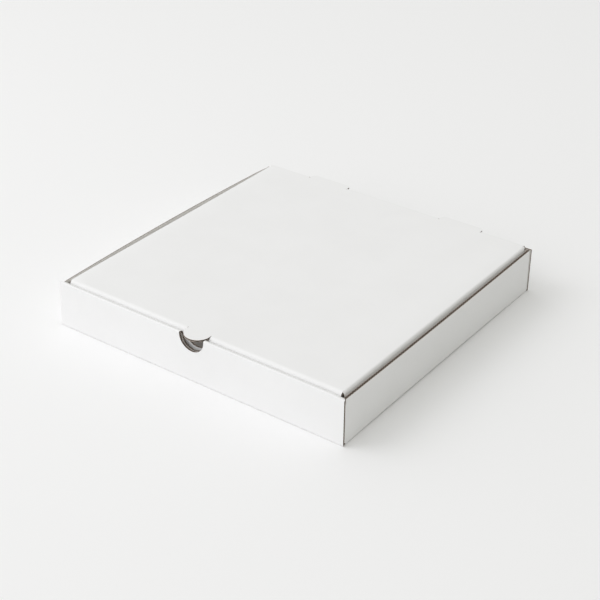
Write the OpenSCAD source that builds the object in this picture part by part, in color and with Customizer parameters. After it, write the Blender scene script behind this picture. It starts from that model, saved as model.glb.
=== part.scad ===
// Plain pizza box, folded from one sheet of thin corrugated board.
// The tray and the lid are the two halves of the sheet, joined at the fold along the back.
// The origin is the middle of the underside: X runs along the front, Y to the back, Z up.

/* [Box] */
// Outer width of the tray, side to side
box_w = 305; // [240:1:420]
// Outer depth of the tray, front to back
box_d = 305; // [240:1:420]
// Height of the side walls
wall_h = 44.4; // [38:0.1:60]
// Thickness of the board
board = 1.8; // [1.2:0.1:2.4]
// Inside radius of the creases in the tray
crease_r = 0.6; // [0.3:0.1:1.2]
// Air between layers of board that lie against each other
layer_gap = 0.1; // [0.05:0.05:0.3]

/* [Front roll] */
// Height of the rolled front rim above the side walls
rim_rise = 0.3; // [0:0.1:1]
// Outer radius of the tight crease along the front of the rim
rim_crease_r = 1; // [0.6:0.1:1.2]
// Width of the thumb notch in the front wall
notch_w = 26.6; // [20:0.2:40]
// Depth of the thumb notch below the rim
notch_depth = 15.3; // [14:0.1:22]
// Width of each lock tab under the rolled-in panel
roll_tab_w = 30; // [15:1:50]
// Distance of each lock tab from the middle
roll_tab_x = 85; // [45:1:90]
// Play of a lock tab in its slot in the floor
roll_tab_fit = 0.4; // [0.2:0.1:0.8]

/* [Corner flaps] */
// Length of the corner flaps inside the front roll
front_flap_len = 95; // [50:1:100]
// Length of the corner flaps behind the back wall
rear_flap_len = 85; // [50:1:100]
// How far the rear corner flaps slope at their step and at their ends
rear_flap_slope = 6; // [2:0.5:10]
// Gap between the floor and the lower edges that stand on it
floor_gap = 0.3; // [0.2:0.1:1]

/* [Lid] */
// Height of the lid's top above the side walls
lid_rise = 0.6; // [0.3:0.1:1.5]
// Inside radius of the folds at the lid's sides
lid_fold_r = 0.8; // [0.7:0.1:3]
// Inside radius of the softer fold at the lid's front
lid_front_fold_r = 2.6; // [0.7:0.1:3]
// Gap between the lid's side flaps and the side walls
lid_side_gap = 3.6; // [1:0.1:5]
// Gap between the lid's front flap and the front roll
lid_front_gap = 0.5; // [0.4:0.1:4]
// Height of the lid's front flap, from the lid's top
lid_front_flap_h = 34; // [22:1:36]
// Height of the lid's side flaps, from the lid's top
lid_side_flap_h = 30; // [15:1:36]
// How far the ends of the lid's flaps taper in
lid_flap_taper = 12; // [4:1:20]
// How far the folds run on past the corners of the flat lid
corner_run = 0.6; // [0.2:0.1:0.7]
// Gap between the lid and the rear corner flaps
lid_rear_gap = 0.6; // [0.4:0.1:1.5]
// Running gap at the back fold
hinge_gap = 0.3; // [0.2:0.1:0.5]

/* [Thumb tab] */
// Radius of the thumb tab at the lid's front edge
tab_r = 12.2; // [8:0.1:12.8]
// Straight run of the thumb tab before its round end
tab_run = 2.3; // [0.5:0.1:4]
// Gap between the thumb tab and the fold cut away beside it
tab_gap = 0.4; // [0.2:0.1:1]

/* [Rear locks] */
// Distance of each rear lock tab from the middle
lock_x = 76; // [50:1:85]
// Width of each rear lock tab
lock_w = 45; // [30:1:55]
// How far the rear lock tabs stand out behind the back wall
lock_reach = 5.8; // [4:0.1:8]
// Radius of the rear lock tabs' corners
lock_corner_r = 4.5; // [1:0.5:5.5]
// Gap around a rear lock tab in its slot
lock_gap = 0.5; // [0.3:0.1:1]

/* [Hidden] */
$fn = 64;
liner_white = "#f1f1ee";

// Tray: the front roll holds the corner flaps between two layers of board
fold_o = crease_r + board;
wall_in = box_w / 2 - board;
roll_d = 3 * board + 2 * layer_gap;
roll_o = roll_d - rim_crease_r;
rim_top = wall_h + rim_rise;
roll_y = -box_d / 2 + rim_crease_r;
roll_z = rim_top - roll_o;
front_in = -box_d / 2 + roll_d;
side_front = -box_d / 2 + board + layer_gap;
side_back = box_d / 2 - board - layer_gap;
flap_z0 = board + floor_gap;

// Lid: its flaps hang inside the walls
lid_top = wall_h + lid_rise;
lid_under = lid_top - board;
lid_fold_o = lid_fold_r + board;
lid_half = wall_in - lid_side_gap;
flat_half = lid_half - lid_fold_o;
lid_front = front_in + lid_front_gap;
front_fold_o = lid_front_fold_r + board;
flat_front = lid_front + front_fold_o;
fold_half = flat_half + corner_run;

// Back fold: the axis runs through the middle of the board
hinge_y = box_d / 2 - board / 2;
hinge_z = lid_top - board / 2;
lid_back = hinge_y - board / 2 - hinge_gap;

// The front flap leans in by what its lower edge swings out as the lid starts to open
front_flap_drop = hinge_z - (lid_top - lid_front_flap_h);
front_flap_swing = front_flap_drop * front_flap_drop / (2 * (hinge_y - lid_front));
front_flap_straight = lid_front_flap_h - front_fold_o;

// The thumb tab leaves its own shape cut out of the front flap below the fold
fold_length = (lid_front_fold_r + board / 2) * PI / 2;
tab_cut_z = lid_top + fold_length - front_fold_o - tab_run;
tab_cut_r = tab_r + tab_gap;

// The rear lock tabs turn through slots in the back wall and over the rear corner flaps
lock_arm = lock_reach + board / 2;
lock_swing = sqrt(lock_arm * lock_arm + board * board / 4);
lock_slot_z = hinge_z - lock_swing - lock_gap;
lock_slot_w = lock_w + 2 * lock_gap;
lock_slot_end = lock_x + lock_slot_w / 2;
cut_over = 1;

// A profile drawn in Y and Z, carried along X to both sides of the middle
module along_x(half)
    rotate([90, 0, 90])
        translate([0, 0, -half])
            linear_extrude(2 * half)
                children();

// A profile drawn in X and Z, carried along Y
module along_y(y0, y1)
    translate([0, y1, 0])
        rotate([90, 0, 0])
            linear_extrude(y1 - y0)
                children();

// Board bent round a fold, from one angle to another
module bend(r_in, a0, a1) {
    r_out = r_in + board;
    reach = 2 * r_out;
    mid = (a0 + a1) / 2;
    intersection() {
        difference() {
            circle(r_out);
            circle(r_in);
        }
        polygon([
            [0, 0],
            reach * [cos(a0), sin(a0)],
            reach * [cos(mid), sin(mid)],
            reach * [cos(a1), sin(a1)]
        ]);
    }
}

// Both sides of the box are alike
module both_sides()
    for (side = [0, 1])
        mirror([side, 0, 0])
            children();

module floor_panel() {
    half_w = box_w / 2 - fold_o;
    half_d = box_d / 2 - fold_o;
    slot_w = roll_tab_w + 2 * roll_tab_fit;
    slot_d = board + 2 * roll_tab_fit;
    difference() {
        translate([-half_w, -half_d, 0])
            cube([2 * half_w, 2 * half_d, board]);
        both_sides()
            translate([roll_tab_x - slot_w / 2, front_in - board - roll_tab_fit, -cut_over])
                cube([slot_w, slot_d, board + 2 * cut_over]);
    }
}

// Side wall with its raw upper edge, and the corner flaps folded in at both its ends
module side_wall() {
    along_y(side_front + fold_o, side_back - fold_o) {
        translate([box_w / 2 - fold_o, fold_o])
            bend(crease_r, -90, 0);
        translate([wall_in, fold_o])
            square([board, wall_h - fold_o]);
    }
    translate([0, 0, flap_z0])
        linear_extrude(roll_z - layer_gap - flap_z0) {
            translate([box_w / 2 - fold_o, side_front + fold_o])
                bend(crease_r, -90, 0);
            translate([box_w / 2 - fold_o - front_flap_len, side_front])
                square([front_flap_len, board]);
        }
    rear_corner_flap();
}

// Rear corner flap, stepped down beside the slot so that the lock tab can turn over it
module rear_corner_flap() {
    x0 = box_w / 2 - fold_o - rear_flap_len;
    x1 = box_w / 2 - fold_o;
    top = lid_under - lid_rear_gap;
    translate([0, 0, flap_z0])
        linear_extrude(top - flap_z0)
            translate([x1, side_back - fold_o])
                bend(crease_r, 0, 90);
    along_y(side_back - board, side_back)
        polygon([
            [x0 + rear_flap_slope, flap_z0],
            [x1, flap_z0],
            [x1, top],
            [lock_slot_end + rear_flap_slope, top],
            [lock_slot_end, lock_slot_z],
            [x0, lock_slot_z]
        ]);
}

// Front wall: a tight crease at the rim, then a soft bend back down to the floor
module front_wall() {
    inner_half = wall_in - floor_gap;
    difference() {
        union() {
            along_x(box_w / 2) {
                translate([-box_d / 2 + fold_o, fold_o])
                    bend(crease_r, 180, 270);
                translate([-box_d / 2, fold_o])
                    square([board, rim_top - rim_crease_r - fold_o]);
                translate([roll_y, rim_top - rim_crease_r])
                    circle(rim_crease_r);
            }
            along_x(inner_half) {
                translate([roll_y, roll_z])
                    bend(roll_o - board, 0, 90);
                translate([front_in - board, flap_z0])
                    square([board, roll_z - flap_z0]);
            }
            both_sides()
                translate([roll_tab_x - roll_tab_w / 2, front_in - board, floor_gap])
                    cube([roll_tab_w, board, flap_z0]);
        }
        thumb_notch();
    }
}

// Cut through both layers of the front wall
module thumb_notch() {
    notch_z = rim_top - notch_depth + notch_w / 2;
    y0 = -box_d / 2 - cut_over;
    y1 = front_in + cut_over;
    along_y(y0, y1) {
        translate([0, notch_z])
            circle(notch_w / 2);
        translate([-notch_w / 2, notch_z])
            square([notch_w, rim_top - notch_z + cut_over]);
    }
}

// Back wall up to the half-round of the back fold, with a slot for each rear lock tab
module back_wall() {
    difference() {
        union() {
            along_x(box_w / 2) {
                translate([box_d / 2 - fold_o, fold_o])
                    bend(crease_r, 270, 360);
                translate([box_d / 2 - board, fold_o])
                    square([board, lid_under - fold_o]);
            }
            along_x(fold_half) {
                translate([box_d / 2 - board, fold_o])
                    square([board, hinge_z - fold_o]);
                translate([hinge_y, hinge_z])
                    circle(board / 2);
            }
        }
        both_sides()
            translate([lock_slot_end - lock_slot_w, box_d / 2 - board - cut_over, lock_slot_z])
                cube([lock_slot_w, board + 2 * cut_over, lid_top - lock_slot_z + cut_over]);
    }
}

module tray()
    color(liner_white) {
        floor_panel();
        both_sides()
            side_wall();
        front_wall();
        back_wall();
    }

// Flat top of the lid, with the thumb tab in front and the two lock tabs behind
module lid_panel() {
    translate([0, 0, lid_under])
        linear_extrude(board) {
            translate([-flat_half, flat_front])
                square([2 * flat_half, lid_back - flat_front]);
            thumb_tab();
            both_sides()
                translate([lock_x, 0])
                    lock_tab();
        }
}

// Tab with a round end that stays level where the front flap folds down
module thumb_tab()
    translate([0, flat_front - tab_run]) {
        circle(tab_r);
        translate([-tab_r, 0])
            square([2 * tab_r, tab_run]);
    }

// Tab with round corners that stays level where the back wall folds down
module lock_tab() {
    root = lid_back - lock_reach;
    tip = box_d / 2 + lock_reach;
    translate([-lock_w / 2, root])
        square([lock_w, tip - lock_corner_r - root]);
    translate([-lock_w / 2 + lock_corner_r, root])
        square([lock_w - 2 * lock_corner_r, tip - root]);
    for (end = [-1, 1])
        translate([end * (lock_w / 2 - lock_corner_r), tip - lock_corner_r])
            circle(lock_corner_r);
}

// Side flap hanging from its fold, tapered towards its lower edge
module lid_side_flap() {
    y0 = flat_front - corner_run;
    y1 = side_back - board - lid_rear_gap;
    z0 = lid_top - lid_side_flap_h;
    fold_z = lid_top - lid_fold_o;
    intersection() {
        along_y(y0, y1) {
            translate([flat_half, fold_z])
                bend(lid_fold_r, 0, 90);
            translate([lid_half - board, z0])
                square([board, fold_z - z0]);
        }
        along_x(lid_half)
            polygon([
                [y0, lid_top],
                [y0, fold_z],
                [y0 + lid_flap_taper, z0],
                [y1 - lid_flap_taper, z0],
                [y1, fold_z],
                [y1, lid_top]
            ]);
    }
}

// Front flap hanging from a soft fold behind the front roll, with the thumb tab's shape cut out
module lid_front_flap() {
    fold_z = lid_top - front_fold_o;
    z0 = lid_top - lid_front_flap_h;
    intersection() {
        along_x(fold_half)
            translate([flat_front, fold_z]) {
                bend(lid_front_fold_r, 90, 180);
                polygon([
                    [-front_fold_o, 0],
                    [-front_fold_o + front_flap_swing, -front_flap_straight],
                    [-lid_front_fold_r + front_flap_swing, -front_flap_straight],
                    [-lid_front_fold_r, 0]
                ]);
            }
        along_y(lid_front - cut_over, flat_front + cut_over)
            difference() {
                polygon([
                    [-fold_half, lid_top + cut_over],
                    [-fold_half, fold_z],
                    [-fold_half + lid_flap_taper, z0],
                    [fold_half - lid_flap_taper, z0],
                    [fold_half, fold_z],
                    [fold_half, lid_top + cut_over]
                ]);
                translate([0, tab_cut_z])
                    circle(tab_cut_r);
                translate([-tab_cut_r, tab_cut_z])
                    square([2 * tab_cut_r, lid_top + 2 * cut_over - tab_cut_z]);
            }
    }
}

module lid()
    color(liner_white) {
        lid_panel();
        both_sides()
            lid_side_flap();
        lid_front_flap();
    }

tray();
lid();
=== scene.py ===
import math

import bpy
import numpy as np
from mathutils import Matrix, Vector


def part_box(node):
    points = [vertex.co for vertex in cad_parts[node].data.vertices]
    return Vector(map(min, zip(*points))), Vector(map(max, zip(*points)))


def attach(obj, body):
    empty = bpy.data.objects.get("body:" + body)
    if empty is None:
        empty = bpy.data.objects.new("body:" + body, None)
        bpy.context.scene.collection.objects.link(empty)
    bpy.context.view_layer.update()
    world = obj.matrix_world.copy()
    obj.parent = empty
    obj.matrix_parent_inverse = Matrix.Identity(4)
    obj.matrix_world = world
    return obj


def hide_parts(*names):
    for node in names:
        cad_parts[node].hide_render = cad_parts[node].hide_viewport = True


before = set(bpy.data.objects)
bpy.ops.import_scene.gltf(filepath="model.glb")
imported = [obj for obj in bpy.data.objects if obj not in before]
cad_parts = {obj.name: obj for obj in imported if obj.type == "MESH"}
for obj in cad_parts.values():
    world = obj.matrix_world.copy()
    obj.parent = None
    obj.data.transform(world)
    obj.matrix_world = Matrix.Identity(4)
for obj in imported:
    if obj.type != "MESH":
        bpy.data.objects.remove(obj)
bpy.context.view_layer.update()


# Floor and side walls
# The middle run of the die-cut sheet: the floor, with a side wall folded up at each end of it. Fine-fluted board,
# made of a white liner outside, an off-white liner inside and a waved brown paper glued between them.
# The flutes run from wall to wall, so each wall's raw upper edge shows them cut across.
mm = 0.001
tray_low, tray_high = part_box("tray")
half_w = tray_high.x
half_d = -tray_low.y
board = 1.8 * mm
liner = 0.28 * mm
flute_paper = 0.26 * mm
flute_pitch = 3.3 * mm
steps_per_flute = 8
flute_flats = 1.35
crease_out = 1.2 * mm
crease_mid = crease_out - board / 2
pressed = 0.8 * mm
pressed_gap = 0.02 * mm
wall_h = 44.4 * mm
layer_gap = 0.1 * mm
floor_half = half_w - crease_out
corner_y = half_d - board - layer_gap
wall_half = corner_y - crease_out
roll_d = 3 * board + 2 * layer_gap
front_in = -half_d + roll_d
lock_x, lock_half = 85 * mm, 15 * mm
lock_fit = 0.4 * mm
slot_x = lock_x - lock_half - lock_fit, lock_x + lock_half + lock_fit
slot_y = front_in - board - lock_fit, front_in + lock_fit
left_bow, right_bow = 3.3 * mm, 0.6 * mm
left_lean, right_lean = 0.35 * mm, 0
left_drop, right_drop = 1.3 * mm, 1.05 * mm
foot_lift = 1.2 * mm
rim_slump = 0.75 * mm
fall_begins, lift_begins, slump_begins = 11 / 12, 0.85, 0.4


def quarter(radius):
    """Length of a right-angled fold round this radius."""
    return radius * math.pi / 2


def folded_line(start, heading, moves, thick=board):
    """The middle of a folded strip of board, seen end on, as a function of the distance along it.

    Each move is a length and a turn in degrees. The strip runs on for the length while its heading turns steadily,
    so a turn of 0 is a flat panel. A move's chord is its length times sin(h) / h, where h is half its turn, and it
    points along the heading at half way. In a fold that is too tight for its thickness the board is pressed thin
    under its white face, and it swells again a little way off. The function gives points, normals to the right of
    the heading, which is the white side, and the share of the thickness that is left.
    """
    lengths = np.array([length for length, turn in moves])
    turns = np.radians([turn for length, turn in moves])
    ends = np.concatenate([[0], np.cumsum(lengths)])
    room = np.where(turns > 0, lengths / np.maximum(turns, 0.001) + thick / 2 - pressed_gap, thick)
    shares = np.minimum(room / thick, 1)
    headings = math.radians(heading) + np.concatenate([[0], np.cumsum(turns)])

    def chord(begin, length, turn):
        middle = begin + turn / 2
        reach = length * np.sinc(turn / 2 / np.pi)
        return np.stack([reach * np.cos(middle), reach * np.sin(middle)], -1)

    joints = np.array(start) + np.concatenate([[[0, 0]], np.cumsum(chord(headings[:-1], lengths, turns), 0)])

    def at(distance):
        move = np.clip(np.searchsorted(ends, distance, side="right") - 1, 0, len(lengths) - 1)
        along = distance - ends[move]
        turn = turns[move] / lengths[move] * along
        facing = headings[move] + turn
        points = joints[move] + chord(headings[move], along, turn)
        away = np.maximum(np.maximum(ends[:-1] - distance[..., None], distance[..., None] - ends[1:]), 0)
        share = (shares + (1 - shares) * np.minimum(away / pressed, 1)).min(-1)
        return points, np.stack([np.sin(facing), -np.cos(facing)], -1), share

    return at


def stations(moves, extra=(), per_fold=8):
    """Distances along a folded line: both ends of each flat panel, steps round each fold, and any extra ones.

    A tight fold also has steps on either side of it, where the board swells again.
    """
    ends = np.concatenate([[0], np.cumsum([length for length, turn in moves])])
    steps = [extra]
    for a, b, (length, turn) in zip(ends, ends[1:], moves):
        steps.append(np.linspace(a, b, per_fold + 1 if turn else 2))
        if turn and length < board / 2 * math.radians(turn):
            steps.append([a - pressed, a - pressed / 2, b + pressed / 2, b + pressed])
    return np.unique(np.clip(np.concatenate(steps), 0, ends[-1]))


def finer(stops):
    """The same stops with more between them, close enough to draw the flutes, and none almost on a stop."""
    apart = 0.01 * mm
    steps = np.arange(stops[0], stops[-1], flute_pitch / steps_per_flute)
    clear = np.abs(steps[:, None] - stops).min(1) > apart
    return np.unique(np.concatenate([stops, steps[clear]]))


def outer_part(x, begins):
    """Nothing up to a share of the way out from the middle line, then evenly up to 1 at the wall."""
    return np.clip((x / half_w - begins) / (1 - begins), 0, 1)


def rim_shift(x, y, z):
    """How far the rim sits back: most at the left end of the front, and nothing at the floor."""
    return rim_slump * (z / wall_h) * outer_part(-x, slump_begins) ** 2 * np.clip(-y / half_d, 0, 1) ** 8


def settled_tray(xyz):
    """The tray as it stands after folding: the side walls lean in and their upper edges bow, most at mid depth. The
    right edge slants down to its outer side, the left one falls towards the back and its corner, and the front rim
    sits back at its left end. All grow evenly from the floor. The right wall's foot is lifted between its corners."""
    x, y, z = np.moveaxis(xyz, -1, 0)
    height = z / wall_h
    end = np.minimum((y / half_d) ** 2, 1)
    rear = np.where(y > 0, end, 0)
    bow = np.where(x < 0, left_bow * end - left_drop * rear, right_bow * end)
    inward = (np.where(x < 0, left_lean, right_lean) + bow) / half_w
    inside = np.abs(y) < wall_half + crease_out
    left_fall = left_drop * (rear + rear ** 12) * outer_part(-x, fall_begins) * inside
    right_fall = right_drop * np.clip((x - half_w) / board + 1, 0, 1)
    lift = foot_lift * (1 - end ** 2) * outer_part(x, lift_begins) ** 2 * (1 - height)
    return np.stack([
        x * (1 - inward * height * inside),
        y + rim_shift(x, y, z),
        z - (left_fall + right_fall) * height + lift,
    ], -1)


UPPER, LOWER, CUT = 0, 1, 2


def sheet(line, axes, us, vs, offsets, across, shape=None, keep=None, mirror=(1, 1, 1), settle=None, crush=None):
    """One closed sheet of paper over a grid of us, distances along a folded line, and vs, places across it.

    A point is line(u) moved along its normal by the paper's lower or upper offset, in the plane of the first two
    axes, with v on the third. shape() bends the grid to the outline, and keep() picks the cells that aren't cut
    away. crush() gives the share of the thickness that is left where an edge is pressed. A strip joins the two faces
    round every cut edge. Points that coincide are merged, faces that shrink to a line are dropped, and the faces are
    turned outwards by the sign of the volume they enclose. The last list says whether each face is of the paper's
    upper side, its lower side or its cut edge.
    """
    u, v = np.meshgrid(us, vs, indexing="ij")
    centre_u = (u[:-1, :-1] + u[1:, 1:]) / 2
    centre_v = (v[:-1, :-1] + v[1:, 1:]) / 2
    kept = keep(centre_u, centre_v) if keep else np.ones(centre_u.shape, bool)
    if shape:
        u, v = shape(u, v)
    wave = across(u, v)
    points, normals, share = line(u)
    if crush:
        share = share * crush(u)
    faces_xyz = []
    for offset in offsets(wave):
        offset = board / 2 - (board / 2 - offset) * share
        flat = points + normals * np.broadcast_to(offset, u.shape)[..., None]
        xyz = np.empty((*u.shape, 3))
        xyz[..., axes[0]], xyz[..., axes[1]], xyz[..., axes[2]] = flat[..., 0], flat[..., 1], v
        faces_xyz.append(xyz.reshape(-1, 3))
    xyz = np.concatenate(faces_xyz) * np.array(mirror)
    uv = np.tile(np.stack([wave, np.where(wave == v, u, v)], -1).reshape(-1, 2), (2, 1))
    if settle:
        xyz = settle(xyz)

    count = u.size
    point = np.arange(count).reshape(u.shape)
    a, b, c, d = point[:-1, :-1], point[:-1, 1:], point[1:, 1:], point[1:, :-1]
    around = np.pad(kept, 1)
    before, after = ~around[:-2, 1:-1], ~around[2:, 1:-1]
    left, right = ~around[1:-1, :-2], ~around[1:-1, 2:]
    under = np.stack([a, b, c, d], -1)[kept]
    edges = np.concatenate([
        np.stack([start, end], -1)[kept & free]
        for start, end, free in ((a, b, before), (b, c, right), (c, d, after), (d, a, left))
    ])
    rim = np.concatenate([edges[:, ::-1], edges + count], 1)
    quads = np.concatenate([under[:, ::-1] + count, under, rim])
    skins = np.repeat([UPPER, LOWER, CUT], [len(under), len(under), len(rim)])

    _, first, merged = np.unique(np.round(xyz, 8), axis=0, return_index=True, return_inverse=True)
    quads = merged.reshape(-1)[quads]
    ranked = np.sort(quads, 1)
    whole = (np.diff(ranked, axis=1) > 0).all(1)
    quads, skins = quads[whole], skins[whole]
    used, quads = np.unique(quads, return_inverse=True)
    quads = quads.reshape(-1, 4)
    xyz, uv = xyz[first][used], uv[first][used]
    p, q, r, s = xyz[quads].transpose(1, 0, 2)
    volume = np.einsum("ij,ij->", p, np.cross(q, r) + np.cross(r, s))
    return xyz, uv, quads if volume > 0 else quads[:, ::-1], skins


class Tone:
    """A socket of a material. Sums on it add Math nodes, and node() adds any other node."""

    def __init__(self, tree, socket=None):
        self.tree, self.socket = tree, socket

    def node(self, kind, settings, inputs, output=0):
        made = self.tree.nodes.new(kind)
        for name, value in settings.items():
            setattr(made, name, value)
        for name, value in inputs.items():
            if isinstance(value, Tone):
                self.tree.links.new(value.socket, made.inputs[name])
            else:
                made.inputs[name].default_value = value
        return Tone(self.tree, made.outputs[output] if made.outputs else None)

    def maths(self, operation, *values):
        return self.node("ShaderNodeMath", {"operation": operation}, dict(enumerate(values)))

    def __add__(self, other):
        return self.maths("ADD", self, other)

    def __sub__(self, other):
        return self.maths("SUBTRACT", self, other)

    def __rsub__(self, other):
        return self.maths("SUBTRACT", other, self)

    def __mul__(self, other):
        return self.maths("MULTIPLY", self, other)

    __radd__, __rmul__ = __add__, __mul__


def new_material(name):
    """An empty node tree, and its object and UV coordinates to start from."""
    material = bpy.data.materials.new(name)
    material.use_nodes = True
    material.node_tree.nodes.clear()
    start = Tone(material.node_tree)
    place = start.node("ShaderNodeTexCoord", {}, {}, "Object")
    flat = start.node("ShaderNodeTexCoord", {}, {}, "UV")
    return material, place, flat


def noise(place, scale, detail=2.0, stretch=(1, 1, 1)):
    """Soft cloud of about 1 / scale metres, drawn out along the axes where stretch is small."""
    spread = place.node("ShaderNodeMapping", {}, {"Vector": place, "Scale": stretch})
    return place.node("ShaderNodeTexNoise", {}, {"Vector": spread, "Scale": scale, "Detail": detail})


def between(value, low, high, at_low=0.0, at_high=1.0):
    """A value carried from one range to another and held at its ends."""
    return value.node("ShaderNodeMapRange", {"interpolation_type": "SMOOTHSTEP"}, {
        "Value": value, "From Min": low, "From Max": high, "To Min": at_low, "To Max": at_high})


def mixed(amount, first, second):
    """One colour carried towards another."""
    return amount.node("ShaderNodeMix", {"data_type": "RGBA"}, {0: amount, 6: first, 7: second}, 2)


def finish_paper(material, place, colour, roughness, height, depth):
    """The paper's shader: its colour and roughness, with its surface raised by height times depth in metres."""
    bump = place.node("ShaderNodeBump", {}, {"Height": height, "Distance": depth})
    shader = place.node("ShaderNodeBsdfPrincipled", {}, {
        "Base Color": colour, "Roughness": roughness, "Specular IOR Level": 0.35, "Normal": bump})
    place.node("ShaderNodeOutputMaterial", {}, {"Surface": shader})
    return material


def flute_ridges(flat):
    """Height of the faint ridges that the flutes press through a liner, once per flute."""
    across = flat.node("ShaderNodeSeparateXYZ", {}, {"Vector": flat}, "X")
    turns = across * (2 * math.pi / flute_pitch)
    return turns.maths("SINE", turns)


def white_paper():
    """Smooth white-coated liner: faint clouds of tone, sparse pale fibres, and the flutes just telling through."""
    material, place, flat = new_material("white_coated_liner")
    clouds = noise(place, 22.0, 4.0)
    fibres = between(noise(place, 900.0, 3.0, (1, 0.25, 1)), 0.68, 0.8)
    shade = between(clouds, 0.3, 0.7) * 0.5 + fibres * 0.5
    colour = mixed(shade, (0.868, 0.868, 0.866, 1), (0.843, 0.842, 0.838, 1))
    roughness = between(noise(place, 160.0, 3.0), 0.3, 0.7, 0.56, 0.7)
    grain = noise(place, 2600.0, 3.0)
    return finish_paper(material, place, colour, roughness, flute_ridges(flat) * 0.35 + grain, 0.00001)


def plain_paper(name, pale, dark):
    """Uncoated paper: long fibres along the sheet, darker specks, and a matt, slightly felted surface."""
    material, place, flat = new_material(name)
    clouds = between(noise(place, 60.0, 4.0), 0.3, 0.7)
    fibres = noise(place, 1400.0, 4.0, (0.12, 1, 1))
    specks = between(noise(place, 1100.0, 2.0), 0.66, 0.74)
    shade = clouds * 0.3 + between(fibres, 0.3, 0.7) * 0.4 + specks * 0.3
    colour = mixed(shade, (*pale, 1), (*dark, 1))
    roughness = between(fibres, 0.3, 0.7, 0.78, 0.92)
    return finish_paper(material, place, colour, roughness, flute_ridges(flat) * 0.35 + fibres, 0.000015)


white_side = white_paper()
pale_side = plain_paper("off_white_inner_liner", (0.73, 0.71, 0.68), (0.65, 0.63, 0.60))
# The faces inside the board (the waved paper and the liners' inner sides) are painted much darker than brown paper.
# This is painted shade for the deep voids between the flutes.
core_painted_shade = plain_paper("core_painted_shade", (0.135, 0.106, 0.084), (0.09, 0.07, 0.054))
cut_edge = plain_paper("cut_paper_edge", (0.48, 0.41, 0.36), (0.34, 0.285, 0.245))
papers = {
    "white_liner": ((white_side, core_painted_shade, cut_edge), "white_board"),
    "fluting": ((core_painted_shade, core_painted_shade, cut_edge), "brown_fluting"),
    "inner_liner": ((core_painted_shade, pale_side, cut_edge), "pale_inside"),
}


def wave_offsets(across):
    """The waved paper's two faces: a sine across the flutes, pressed flat where it is glued to each liner."""
    rise = board / 2 - liner - flute_paper / 2
    middle = rise * np.clip(flute_flats * np.sin(2 * np.pi * across / flute_pitch), -1, 1)
    return middle - flute_paper / 2, middle + flute_paper / 2


offsets_of = {
    "white_liner": lambda across: (board / 2 - liner, board / 2),
    "fluting": wave_offsets,
    "inner_liner": lambda across: (-board / 2, liner - board / 2),
}


def paper_mesh(name, body, paper, sheets):
    """One object from several sheets of a paper, riding on a body and standing for its solid there."""
    materials, slot = papers[paper]
    sizes = np.cumsum([0] + [len(part[0]) for part in sheets])
    xyz = np.concatenate([part[0] for part in sheets])
    uv = np.concatenate([part[1] for part in sheets])
    quads = np.concatenate([part[2] + size for part, size in zip(sheets, sizes)])
    skins = np.concatenate([part[3] for part in sheets])
    mesh = bpy.data.meshes.new(name)
    mesh.from_pydata(xyz.tolist(), [], quads.tolist())
    for material in materials:
        mesh.materials.append(material)
    mesh.polygons.foreach_set("material_index", skins.astype(np.int32))
    mesh.uv_layers.new(name="flutes").data.foreach_set("uv", uv[quads].astype(np.float32).ravel())
    mesh.shade_smooth()
    mesh.set_sharp_from_angle(angle=math.radians(40))
    piece = bpy.data.objects.new(name, mesh)
    bpy.context.scene.collection.objects.link(piece)
    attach(piece, body)
    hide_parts(body)


def along_v(u, v):
    """Flutes that run along the folded line, so their waves are counted across it."""
    return v


def along_u(u, v):
    """Flutes that run across the folded line, so their waves are counted along it."""
    return u


def board_pieces(name, body, panels):
    """The three papers of some panels of board, one object for each paper."""
    for paper in papers:
        sheets = []
        for panel in panels:
            panel = dict(panel)
            if paper == "fluting":
                dense = panel.pop("dense")
                panel[dense] = finer(panel[dense])
            else:
                panel.pop("dense")
            keeps = panel.pop("keep", None)
            keep = keeps.get(paper, keeps["all"]) if keeps else None
            sheets.append(sheet(offsets=offsets_of[paper], keep=keep, **panel))
        paper_mesh(f"{name}.{paper}", body, paper, sheets)


X, Y, Z = 0, 1, 2
floor_moves = [
    (wall_h - crease_out, 0), (quarter(crease_mid), 90), (2 * floor_half, 0), (quarter(crease_mid), 90),
    (wall_h - crease_out, 0),
]
floor_start = wall_h - crease_out + quarter(crease_mid)
edge_depth, edge_share = 2.2 * mm, 0.42


def floor_cells(u, v):
    """The floor is longer than the walls, and has a slot for each lock tab of the front roll."""
    x = u - floor_start - floor_half
    on_floor = np.abs(x) < floor_half
    slot = (np.abs(x) > slot_x[0]) & (np.abs(x) < slot_x[1]) & (v > slot_y[0]) & (v < slot_y[1])
    return np.where(on_floor, ~slot, np.abs(v) < wall_half)


def left_crush(u):
    """The upper edge of the left wall is pressed nearly shut, and back at its full thickness a little way down."""
    return edge_share + (1 - edge_share) * np.minimum(u / edge_depth, 1)


slot_stations = floor_start + floor_half + np.array([-slot_x[1], -slot_x[0], slot_x[0], slot_x[1]])
edge_stations = np.linspace(0, edge_depth, 5)
board_pieces("floor_and_sides", "tray", [{
    "line": folded_line((-half_w + board / 2, wall_h), -90, floor_moves),
    "axes": (X, Z, Y),
    "us": stations(floor_moves, np.concatenate([edge_stations, slot_stations])),
    "vs": np.unique([-floor_half, *slot_y, *np.linspace(-wall_half, wall_half, 33), floor_half]),
    "across": along_v,
    "dense": "vs",
    "keep": {"all": floor_cells},
    "settle": settled_tray,
    "crush": left_crush,
}])


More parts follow.
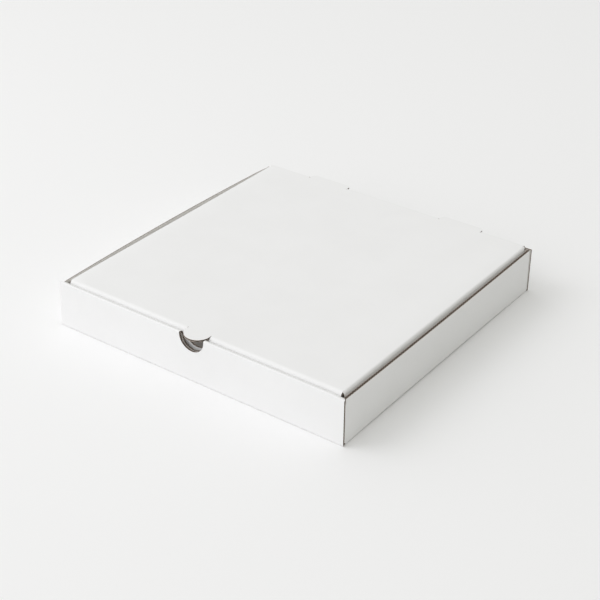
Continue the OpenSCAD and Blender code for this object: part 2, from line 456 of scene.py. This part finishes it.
# Corner flaps
# The ends of both side walls, folded in behind the front and back walls, where they hold the corners.
# The same board, with its flutes upright. The front pair is caught inside the roll of the front wall.
floor_gap, rim_rise = 0.3 * mm, 0.3 * mm
flap_z0 = board + floor_gap
rim_top = wall_h + rim_rise
rim_crease_r = 1.0 * mm
roll_out = roll_d - rim_crease_r
roll_z = rim_top - roll_out
front_flap, rear_flap = 95 * mm, 85 * mm
front_flap_top = roll_z - layer_gap
lid_low, lid_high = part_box("lid")
lid_top = lid_high.z
lid_under = lid_top - board
flap_gap = 0.6 * mm
rear_flap_top = lid_under - flap_gap
rear_flap_slope = 6 * mm
lock_slot = 53 * mm, 99 * mm
lock_slot_z = 36.84 * mm


def flap_panel(length, mirror, shape):
    """A fold round the box's corner, then a flat flap along the wall there."""
    moves = [(quarter(crease_mid), 90), (length, 0)]
    line = folded_line((half_w - board / 2, wall_half), 90, moves)
    steps = stations(moves, quarter(crease_mid) + np.linspace(0, length, 40))
    return {
        "line": line, "axes": (X, Y, Z), "us": steps, "vs": np.linspace(0, 1, 5), "across": along_u, "dense": "us",
        "shape": shape, "mirror": mirror, "settle": settled_tray,
    }


def front_flap_shape(u, v):
    """A plain rectangle, from just over the floor to just under the roll."""
    return u, flap_z0 + v * (front_flap_top - flap_z0)


def rear_flap_shape(u, v):
    """Full height beside the corner, then a slope down to the foot of the lock slot and a slanted free end."""
    reach = floor_half - np.maximum(u - quarter(crease_mid), 0)
    top = np.interp(reach, [lock_slot[1], lock_slot[1] + rear_flap_slope], [lock_slot_z, rear_flap_top])
    slant = rear_flap_slope * np.maximum(u - quarter(crease_mid), 0) / rear_flap * (1 - v)
    return u - slant, flap_z0 + v * (top - flap_z0)


board_pieces("corner_flaps", "tray", [
    flap_panel(length, (side, end, 1), shape)
    for side in (1, -1)
    for end, length, shape in ((-1, front_flap, front_flap_shape), (1, rear_flap, rear_flap_shape))
])


# Front wall
# Folded up from the floor to a tight crease at the rim, and rolled softly back down inside, where two tabs lock
# into the floor. The same board with its flutes level, a half-round thumb notch cut through both of its layers.
inner_half = half_w - board - floor_gap
roll_mid = roll_out - board / 2
rim_mid = rim_crease_r - board / 2
notch_r, notch_depth = 13 * mm, 14.7 * mm
notch_x, notch_z = -1 * mm, rim_top - notch_depth + notch_r
press, press_reach, press_fade = 1.5 * mm, 50 * mm, 10 * mm
front_moves = [
    (roll_z - flap_z0, 0), (quarter(roll_mid), 90), (quarter(rim_mid), 90), (rim_top - rim_crease_r - crease_out, 0),
    (quarter(crease_mid), 90),
]
front_line = folded_line((front_in - board / 2, flap_z0), 90, front_moves)
roll_begins = roll_z - flap_z0
rim_begins = roll_begins + quarter(roll_mid)
rim_ends = rim_begins + quarter(rim_mid)


def notch_half(z):
    """Half width of the notch: a circle below its centre, straight sides above it, and nothing below its foot."""
    return np.sqrt(np.maximum(notch_r ** 2 - np.minimum(z - notch_z, 0) ** 2, 0))


def front_shape(u, v):
    """v runs from -2 at the left end to -1 at the notch, and from 1 to 2 on the right of it. The notch is a little
    off centre."""
    z = front_line(u)[0][..., 1]
    half = inner_half + (half_w - inner_half) * np.clip((u - roll_begins) / (rim_ends - roll_begins), 0, 1)
    notch = notch_half(z)
    away = np.abs(v) - 1
    return u, np.sign(v) * (notch + (half - notch) * away) + notch_x * (1 - away)


def front_cells(u, v):
    """Everything but the notch, which is the strip between v = -1 and 1 wherever it has some width."""
    z = front_line(u)[0][..., 1]
    return (np.abs(v) > 1) | (z < notch_z - notch_r)


def settled_front(xyz):
    """The tray as it stands, with the rolled-in layer pressed out towards the outer one around the notch. The press
    fades along the wall as a bell curve, and evenly up to the rim and down to the floor."""
    x, y, z = np.moveaxis(xyz, -1, 0)
    inner = np.clip((y + half_d - board) / (roll_d - 2 * board), 0, 1)
    upper = np.clip((rim_top - z) / press_fade, 0, 1)
    lower = np.clip((z - flap_z0) / (notch_z - notch_r - flap_z0), 0, 1)
    out = press * np.exp(-(x / press_reach) ** 2) * inner * upper * lower
    return settled_tray(np.stack([x, y - out, z], -1))


notch_steps = notch_z - notch_r * np.cos(np.linspace(0, math.pi / 2, 13))
inner_steps = notch_steps[notch_steps < roll_z] - flap_z0
outer_steps = rim_ends + rim_top - rim_crease_r - notch_steps[notch_steps < rim_top - rim_crease_r]
halves = np.concatenate([np.linspace(-2, -1, 13), np.linspace(1, 2, 13)])
lock_moves = [(flap_z0 - floor_gap, 0)]
lock_line = folded_line((front_in - board / 2, floor_gap), 90, lock_moves)
board_pieces("front_wall", "tray", [{
    "line": front_line,
    "axes": (Y, Z, X),
    "us": stations(front_moves, np.concatenate([inner_steps, outer_steps]), 12),
    "vs": halves,
    "across": along_u,
    "dense": "us",
    "shape": front_shape,
    "keep": {"all": front_cells},
    "settle": settled_front,
}] + [{
    "line": lock_line,
    "axes": (Y, Z, X),
    "us": stations(lock_moves),
    "vs": side * lock_x + np.array([-lock_half, lock_half]),
    "across": along_u,
    "dense": "us",
} for side in (-1, 1)])


# Back wall
# Folded up from the floor. Its upper edge is the scored fold that the lid swings on.
# The same board with its flutes level. Each lock tab of the lid passes through a slot cut down from the fold.
hinge_y = half_d - board / 2
hinge_z = lid_top - board / 2
lid_fold_r = 0.8 * mm
lid_fold_out = lid_fold_r + board
corner_run = 0.6 * mm
fold_half = lid_high.x - lid_fold_out + corner_run
bead_r = 0.6 * mm
back_moves = [(quarter(crease_mid), 90), (hinge_z - crease_out, 0)]
back_rise = quarter(crease_mid) - crease_out
corner_wear = 1.8 * mm
left_corner_z = lid_under - corner_wear


def back_cells(u, v):
    """The wall less its two slots, and less the corners beside the lid's folds, the left one worn lower."""
    z = u - back_rise
    slot = (np.abs(v) > lock_slot[0]) & (np.abs(v) < lock_slot[1]) & (z > lock_slot_z)
    corner = (np.abs(v) > fold_half) & (z > np.where(v < 0, left_corner_z, lid_under))
    return ~slot & ~corner


def fold_cells(u, v):
    """The fold itself, broken where the slots are."""
    return (np.abs(v) < lock_slot[0]) | (np.abs(v) > lock_slot[1])


slot_edges = [-lock_slot[1], -lock_slot[0], lock_slot[0], lock_slot[1]]
board_pieces("back_wall", "tray", [{
    "line": folded_line((floor_half, board / 2), 0, back_moves),
    "axes": (Y, Z, X),
    "us": stations(back_moves, back_rise + np.array([lock_slot_z, left_corner_z, lid_under])),
    "vs": np.array([-half_w, -fold_half, *slot_edges, fold_half, half_w]),
    "across": along_u,
    "dense": "us",
    "keep": {"all": back_cells},
}])


def paper_fold(paper, radius, turn, inside_up):
    """One liner carried round the back fold: an arc about the fold's axis, as thick as the liner."""
    middle = radius - liner / 2
    moves = [(middle * math.radians(turn), turn)]
    part = sheet(
        folded_line((hinge_y + middle, hinge_z), 90, moves, liner), (Y, Z, X), stations(moves, (), 12),
        np.array([-fold_half, *slot_edges, fold_half]), lambda across: (-liner / 2, liner / 2), along_u,
        keep=fold_cells)
    if inside_up:
        part[3][part[3] == UPPER] = LOWER
    paper_mesh(f"back_fold.{paper}", "tray", paper, [part])


paper_fold("white_liner", board / 2, 90, False)
paper_fold("inner_liner", bead_r, 180, True)


# Lid panel and side flaps
# The top of the box with a side flap folded down at each side, to drop inside the walls.
# The same board with its flutes running from side to side. The two rear lock tabs and the thumb tab are cut from
# the sheet beside the folds and stay level.
lid_fold_mid = lid_fold_r + board / 2
lid_half = lid_high.x
flat_half = lid_half - lid_fold_out
front_fold_r = 2.6 * mm
front_fold_out = front_fold_r + board
lid_front_gap, fold_gap, side_fold_run = 0.5 * mm, 0.3 * mm, 2.1 * mm
lid_front = front_in + lid_front_gap
flat_front = lid_front + front_fold_out
lid_back = hinge_y - board / 2 - fold_gap
side_flap_h, flap_taper = 30 * mm, 12 * mm
side_flap_drop = side_flap_h - lid_fold_out
flap_front = flat_front - side_fold_run
flap_back = corner_y - board - flap_gap
lid_sag = 0.35 * mm
left_spring, rear_spring = 0.6 * mm, 0.6 * mm
lid_moves = [
    (side_flap_drop, 0), (quarter(lid_fold_mid), 90), (2 * flat_half, 0), (quarter(lid_fold_mid), 90),
    (side_flap_drop, 0),
]
panel_start = side_flap_drop + quarter(lid_fold_mid)
lid_length = 2 * panel_start + 2 * flat_half


def settled_lid(xyz):
    """The lid lies a little lower at its middle, its left side springs out towards the wall, and its front left
    corner follows the rim beside it."""
    x, y, z = np.moveaxis(xyz, -1, 0)
    across = np.clip(1 - (x / flat_half) ** 2, 0, 1)
    along = np.clip(1 - ((y - flat_front) / (lid_back - flat_front) * 2 - 1) ** 2, 0, 1)
    end = np.minimum((y / half_d) ** 2, 1)
    spring = np.clip(-x / flat_half, 0, 1) ** 2 * np.where(
        y < 0, left_spring * (1 - end ** 2), left_spring + rear_spring * end)
    return np.stack([x - spring, y + rim_shift(x, y, z), z - lid_sag * across * along], -1)


def settled_panel(xyz):
    """The lid as it lies, with the front ends of its side folds rounded off like the front fold beside them."""
    past = np.clip(flat_front - xyz[..., 1:2], 0, front_fold_out)
    fall = front_fold_out - np.sqrt(front_fold_out ** 2 - past ** 2)
    return settled_lid(xyz - fall * np.array([0, 0, 1]))


def lid_shape(u, v):
    """The flaps' lower edges rise to the fold at their ends, and the folds run on to the back edge as they turn."""
    reach = np.clip(np.minimum(v - flap_front, flap_back - v) / flap_taper, 0.02, 1)
    rise = side_flap_drop * (1 - reach)
    folded = np.clip((np.minimum(u, lid_length - u) - side_flap_drop) / quarter(lid_fold_mid), 0, 1)
    run_on = (lid_back - flap_back - 0.2 * mm) * np.clip((folded - 0.25) / 0.35, 0, 1) * (folded < 0.999)
    return (
        np.where(u == us_first, u + rise, np.where(u == us_last, u - rise, u)),
        np.where(v == flap_back, v + run_on, v),
    )


def lid_cells(u, v):
    """The panel between its front and back folds, and the flaps between their ends."""
    x = panel_start + flat_half - u
    return np.where(np.abs(x) < flat_half, (v > flat_front) & (v < lid_back), (v > flap_front) & (v < flap_back))


def lid_liner_cells(u, v):
    """The white liner also runs on over the back fold, between the lock tabs."""
    x = np.abs(panel_start + flat_half - u)
    lip = (v > lid_back) & (x < flat_half) & ((x < lock_slot[0]) | (x > lock_slot[1]))
    return lid_cells(u, v) | lip


panel_steps = np.array([*slot_edges, *np.linspace(-0.9, 0.9, 19) * flat_half])
lid_us = stations(lid_moves, panel_start + flat_half + panel_steps)
us_first, us_last = lid_us[0], lid_us[-1]
lid_panel = {
    "line": folded_line((lid_half - board / 2, lid_top - side_flap_h), 90, lid_moves),
    "axes": (X, Z, Y),
    "us": lid_us,
    "vs": np.unique([
        flap_front, flat_front, lid_back, hinge_y, *np.linspace(flap_front + flap_taper, flap_back - flap_taper, 25),
        flap_back,
    ]),
    "across": along_v,
    "dense": "vs",
    "shape": lid_shape,
    "keep": {"all": lid_cells, "white_liner": lid_liner_cells},
    "settle": settled_panel,
}

tab_run = 2.3 * mm
tab_r = flat_front - tab_run - lid_low.y
tab_moves = [(tab_run + tab_r, 0)]


def thumb_tab_shape(u, v):
    """Straight sides, then half a disc: past the run, its half width is what is left of its radius."""
    past = np.maximum(u - tab_run, 0)
    return u, v * np.sqrt(np.maximum(tab_r ** 2 - past ** 2, (0.02 * tab_r) ** 2))


thumb_tab = {
    "line": folded_line((flat_front, lid_top - board / 2), 180, tab_moves),
    "axes": (Y, Z, X),
    "us": np.concatenate([[0], tab_run + tab_r * np.sin(np.linspace(0, math.pi / 2, 17))]),
    "vs": np.linspace(-1, 1, 13),
    "across": lambda u, v: flat_front - u,
    "dense": "us",
    "shape": thumb_tab_shape,
    "settle": settled_lid,
}

lock_tab_x, lock_tab_half = 76 * mm, 22.5 * mm
lock_tab_corner = 4.5 * mm
lock_tab_tip = lid_high.y
lock_tab_moves = [(lock_tab_tip - lid_back, 0)]


def lock_tab(side):
    """A level tab, its outer corners round: within a corner's radius of the tip its width shrinks along an arc."""

    def shape(u, v):
        short = np.maximum(lock_tab_corner - u, 0)
        half = lock_tab_half - lock_tab_corner + np.sqrt(lock_tab_corner ** 2 - short ** 2)
        return u, side * lock_tab_x + v * half

    return {
        "line": folded_line((lock_tab_tip, lid_top - board / 2), 180, lock_tab_moves),
        "axes": (Y, Z, X),
        "us": stations(lock_tab_moves, lock_tab_corner * (1 - np.cos(np.linspace(0, math.pi / 2, 9)))),
        "vs": np.linspace(-1, 1, 3),
        "across": lambda u, v: lock_tab_tip - u,
        "dense": "us",
        "shape": shape,
    }


board_pieces("lid_panel", "lid", [lid_panel, thumb_tab, lock_tab(-1), lock_tab(1)])


# Lid front flap
# Hung from the lid's front fold and tucked in behind the rolled front wall, leaning in so that it swings clear.
# The same board with its flutes level. The thumb tab's own shape is missing from its upper edge.
front_flap_h = 34 * mm
front_drop = front_flap_h - front_fold_out
front_swing = (front_flap_h - board / 2) ** 2 / (2 * (hinge_y - lid_front))
lean = math.degrees(math.atan2(front_swing, front_drop))
tab_gap = 0.4 * mm
tab_hole = tab_r + tab_gap
flap_fold = (front_fold_r + board / 2) * math.radians(90 + lean)
flap_moves = [(flap_fold, 90 + lean), (front_drop, 0)]


def lid_flap_shape(u, v):
    """v runs from -2 at the left end to -1 at the tab's hole, and from 1 to 2 on the right of it."""
    half = fold_half - flap_taper * np.clip((u - flap_fold) / front_drop, 0, 1)
    hole = np.sqrt(np.maximum(tab_hole ** 2 - np.maximum(u - tab_run, 0) ** 2, 0))
    return u, np.sign(v) * (hole + (half - hole) * (np.abs(v) - 1))


def lid_flap_cells(u, v):
    """Everything but the hole that the thumb tab leaves."""
    return (np.abs(v) > 1) | (u > tab_run + tab_hole)


board_pieces("lid_front_flap", "lid", [{
    "line": folded_line((flat_front, lid_top - board / 2), 180, flap_moves),
    "axes": (Y, Z, X),
    "us": stations(flap_moves, tab_run + tab_hole * np.sin(np.linspace(0, math.pi / 2, 13)), 16),
    "vs": halves,
    "across": lambda u, v: flat_front - u,
    "dense": "us",
    "shape": lid_flap_shape,
    "keep": {"all": lid_flap_cells},
    "settle": settled_lid,
}])


# Studio
# A plain pale floor, soft light from everywhere, a large lamp at the left, and the camera.
# A very weak lamp inside the box stands for the light that soaks through the white lid while it is shut.
floor_size = 40.0
floor_mesh = bpy.data.meshes.new("studio_floor")
floor_corners = np.array([[-1, -1, 0], [1, -1, 0], [1, 1, 0], [-1, 1, 0]]) * floor_size / 2
floor_mesh.from_pydata(floor_corners.tolist(), [], [(0, 1, 2, 3)])
studio_floor = bpy.data.objects.new("studio_floor", floor_mesh)
bpy.context.scene.collection.objects.link(studio_floor)
floor_paint, floor_place, _ = new_material("studio_floor")
floor_shader = floor_place.node("ShaderNodeBsdfPrincipled", {}, {
    "Base Color": (0.91, 0.91, 0.91, 1), "Roughness": 0.9, "Specular IOR Level": 0.1})
floor_place.node("ShaderNodeOutputMaterial", {}, {"Surface": floor_shader})
floor_mesh.materials.append(floor_paint)

world = bpy.data.worlds.new("studio")
bpy.context.scene.world = world
world.use_nodes = True
world.node_tree.nodes.clear()
even_light, light_slope = 0.72, (-0.40, -0.335, 0.19)
sky = Tone(world.node_tree)
towards = sky.node("ShaderNodeTexCoord", {}, {}, "Generated")
slope = sky.node("ShaderNodeVectorMath", {"operation": "DOT_PRODUCT"}, {0: towards, 1: light_slope}, "Value")
tint = mixed(between(slope, -0.4, 0.4), (1, 1, 0.91, 1), (0.99, 0.99, 1, 1))
glow = sky.node("ShaderNodeBackground", {}, {"Color": tint, "Strength": slope + even_light})
sky.node("ShaderNodeOutputWorld", {}, {"Surface": glow})


lamp_white = 0.965, 0.965, 1


def soft_lamp(name, place, target, size, power):
    """A square lamp at a place, turned to face the target."""
    lamp = bpy.data.lights.new(name, "AREA")
    lamp.shape, lamp.size, lamp.energy, lamp.color = "SQUARE", size, power, lamp_white
    lamp_object = bpy.data.objects.new(name, lamp)
    back = np.array(place) - np.array(target)
    back = back / np.linalg.norm(back)
    right = np.cross((0, 0, 1), back)
    right = right / np.linalg.norm(right)
    turn = np.stack([right, np.cross(back, right), back, place], 1)
    lamp_object.matrix_world = Matrix([*turn.tolist(), [0, 0, 0, 1]])
    lamp_object.visible_camera = False
    bpy.context.scene.collection.objects.link(lamp_object)


soft_lamp("left_lamp", (-1.3, -0.9, 1.5), (0, 0, 0), 1.2, 8.6)
soft_lamp("light_through_lid", (-0.03, -0.079, 4 * mm), (-0.03, -0.08, lid_under), 0.12, 0.017)

azimuth, elevation, roll = np.radians([35.90, 30.71, 0.44])
view_centre = np.array([57.1, -81.9, 84.0]) * 0.305 * mm
view_distance = 4059 * 0.305 * mm
focal_pixels, image_pixels, sensor = 1393.0, 600.0, 36.0
view_back = np.array([
    math.sin(azimuth) * math.cos(elevation), -math.cos(azimuth) * math.cos(elevation), math.sin(elevation)])
view_right = np.array([math.cos(azimuth), math.sin(azimuth), 0])
view_up = np.cross(view_back, view_right)
turned_right = math.cos(roll) * view_right + math.sin(roll) * view_up
turned_up = math.cos(roll) * view_up - math.sin(roll) * view_right
camera = bpy.data.cameras.new("camera")
camera.sensor_width, camera.lens = sensor, focal_pixels / image_pixels * sensor
camera_object = bpy.data.objects.new("camera", camera)
camera_turn = np.stack([turned_right, turned_up, view_back, view_centre + view_back * view_distance], 1)
camera_object.matrix_world = Matrix([*camera_turn.tolist(), [0, 0, 0, 1]])
bpy.context.scene.collection.objects.link(camera_object)
bpy.context.scene.camera = camera_object
bpy.context.scene.view_settings.view_transform = "Standard"
